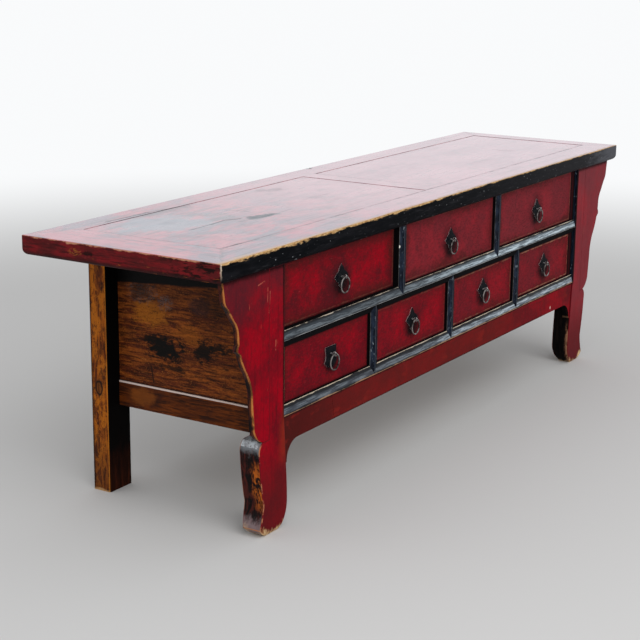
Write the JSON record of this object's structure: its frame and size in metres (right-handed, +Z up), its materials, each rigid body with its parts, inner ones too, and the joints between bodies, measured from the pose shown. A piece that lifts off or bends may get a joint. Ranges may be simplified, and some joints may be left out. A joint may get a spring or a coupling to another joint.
{
  "type": "altar cabinet",
  "caption": "Long low altar cabinet with an overhanging framed top, scalloped spandrels, shouldered hoof feet, curved apron brackets and two rows of ring-pull drawers.",
  "frame": {"origin": "on the floor under the middle of the top", "axes": "+X along the front to the right as seen from the front, +Y to the back, +Z up"},
  "size_m": [1.76, 0.444, 0.543],
  "materials": {
    "dark_top": "worn dark lacquer",
    "red_lacquer": "worn glossy lacquer",
    "black_lacquer": "glossy lacquer",
    "honey_wood": "oiled, grained",
    "bare_wood": "raw sawn",
    "iron": "hand-forged, dark"
  },
  "bodies": {
    "carcass": {"top_front_rail": "dark_top", "top_back_rail": "dark_top", "top_centre_rail": "dark_top", "top_left_panel": "dark_top", "top_right_panel": "dark_top", "top_left_end_rail": "red_lacquer", "top_right_end_rail": "red_lacquer", "front_left_leg": "red_lacquer", "front_right_leg": "red_lacquer", "left_spandrel": "red_lacquer", "right_spandrel": "red_lacquer", "apron": "red_lacquer", "left_apron_bracket": "red_lacquer", "right_apron_bracket": "red_lacquer", "middle_rail": "black_lacquer", "lower_rail": "black_lacquer", "upper_left_divider": "black_lacquer", "upper_right_divider": "black_lacquer", "lower_left_divider": "black_lacquer", "lower_centre_divider": "black_lacquer", "lower_right_divider": "black_lacquer", "rear_left_leg": "honey_wood", "rear_right_leg": "honey_wood", "left_end_panel": "honey_wood", "right_end_panel": "honey_wood", "left_end_rail": "honey_wood", "right_end_rail": "honey_wood", "top_battens": "bare_wood", "back_panels": "bare_wood", "back_middle_rail": "bare_wood", "back_lower_rail": "bare_wood", "drawer_runners": "bare_wood"},
    "upper_left_drawer": {"upper_left_drawer_front": "red_lacquer", "upper_left_drawer_box": "bare_wood", "upper_left_drawer_pull_plate": "iron"},
    "upper_left_ring": {"upper_left_drawer_pull_ring": "iron"},
    "upper_centre_drawer": {"upper_centre_drawer_front": "red_lacquer", "upper_centre_drawer_box": "bare_wood", "upper_centre_drawer_pull_plate": "iron"},
    "upper_centre_ring": {"upper_centre_drawer_pull_ring": "iron"},
    "upper_right_drawer": {"upper_right_drawer_front": "red_lacquer", "upper_right_drawer_box": "bare_wood", "upper_right_drawer_pull_plate": "iron"},
    "upper_right_ring": {"upper_right_drawer_pull_ring": "iron"},
    "lower_far_left_drawer": {"lower_far_left_drawer_front": "red_lacquer", "lower_far_left_drawer_box": "bare_wood", "lower_far_left_drawer_pull_plate": "iron"},
    "lower_far_left_ring": {"lower_far_left_drawer_pull_ring": "iron"},
    "lower_mid_left_drawer": {"lower_mid_left_drawer_front": "red_lacquer", "lower_mid_left_drawer_box": "bare_wood", "lower_mid_left_drawer_pull_plate": "iron"},
    "lower_mid_left_ring": {"lower_mid_left_drawer_pull_ring": "iron"},
    "lower_mid_right_drawer": {"lower_mid_right_drawer_front": "red_lacquer", "lower_mid_right_drawer_box": "bare_wood", "lower_mid_right_drawer_pull_plate": "iron"},
    "lower_mid_right_ring": {"lower_mid_right_drawer_pull_ring": "iron"},
    "lower_far_right_drawer": {"lower_far_right_drawer_front": "red_lacquer", "lower_far_right_drawer_box": "bare_wood", "lower_far_right_drawer_pull_plate": "iron"},
    "lower_far_right_ring": {"lower_far_right_drawer_pull_ring": "iron"}
  },
  "joints": [
    {"name": "upper_left_drawer_slide", "type": "slide", "parent": "carcass", "child": "upper_left_drawer", "axis": [0, -1, 0], "range_m": [0, 0.24]},
    {"name": "upper_left_ring_hinge", "type": "hinge", "parent": "upper_left_drawer", "child": "upper_left_ring", "pos_m": [-0.44367, -0.202, 0.4375], "axis": [-1, 0, 0], "range_deg": [-12, 192]},
    {"name": "upper_centre_drawer_slide", "type": "slide", "parent": "carcass", "child": "upper_centre_drawer", "axis": [0, -1, 0], "range_m": [0, 0.24]},
    {"name": "upper_centre_ring_hinge", "type": "hinge", "parent": "upper_centre_drawer", "child": "upper_centre_ring", "pos_m": [0, -0.208, 0.4375], "axis": [-1, 0, 0], "range_deg": [-12, 192]},
    {"name": "upper_right_drawer_slide", "type": "slide", "parent": "carcass", "child": "upper_right_drawer", "axis": [0, -1, 0], "range_m": [0, 0.24]},
    {"name": "upper_right_ring_hinge", "type": "hinge", "parent": "upper_right_drawer", "child": "upper_right_ring", "pos_m": [0.44367, -0.208, 0.4375], "axis": [-1, 0, 0], "range_deg": [-12, 192]},
    {"name": "lower_far_left_drawer_slide", "type": "slide", "parent": "carcass", "child": "lower_far_left_drawer", "axis": [0, -1, 0], "range_m": [0, 0.24]},
    {"name": "lower_far_left_ring_hinge", "type": "hinge", "parent": "lower_far_left_drawer", "child": "lower_far_left_ring", "pos_m": [-0.48912, -0.208, 0.295], "axis": [-1, 0, 0], "range_deg": [-12, 192]},
    {"name": "lower_mid_left_drawer_slide", "type": "slide", "parent": "carcass", "child": "lower_mid_left_drawer", "axis": [0, -1, 0], "range_m": [0, 0.24]},
    {"name": "lower_mid_left_ring_hinge", "type": "hinge", "parent": "lower_mid_left_drawer", "child": "lower_mid_left_ring", "pos_m": [-0.16637, -0.208, 0.295], "axis": [-1, 0, 0], "range_deg": [-12, 192]},
    {"name": "lower_mid_right_drawer_slide", "type": "slide", "parent": "carcass", "child": "lower_mid_right_drawer", "axis": [0, -1, 0], "range_m": [0, 0.24]},
    {"name": "lower_mid_right_ring_hinge", "type": "hinge", "parent": "lower_mid_right_drawer", "child": "lower_mid_right_ring", "pos_m": [0.16637, -0.208, 0.295], "axis": [-1, 0, 0], "range_deg": [-12, 192]},
    {"name": "lower_far_right_drawer_slide", "type": "slide", "parent": "carcass", "child": "lower_far_right_drawer", "axis": [0, -1, 0], "range_m": [0, 0.24]},
    {"name": "lower_far_right_ring_hinge", "type": "hinge", "parent": "lower_far_right_drawer", "child": "lower_far_right_ring", "pos_m": [0.49912, -0.208, 0.295], "axis": [-1, 0, 0], "range_deg": [-12, 192]}
  ]
}
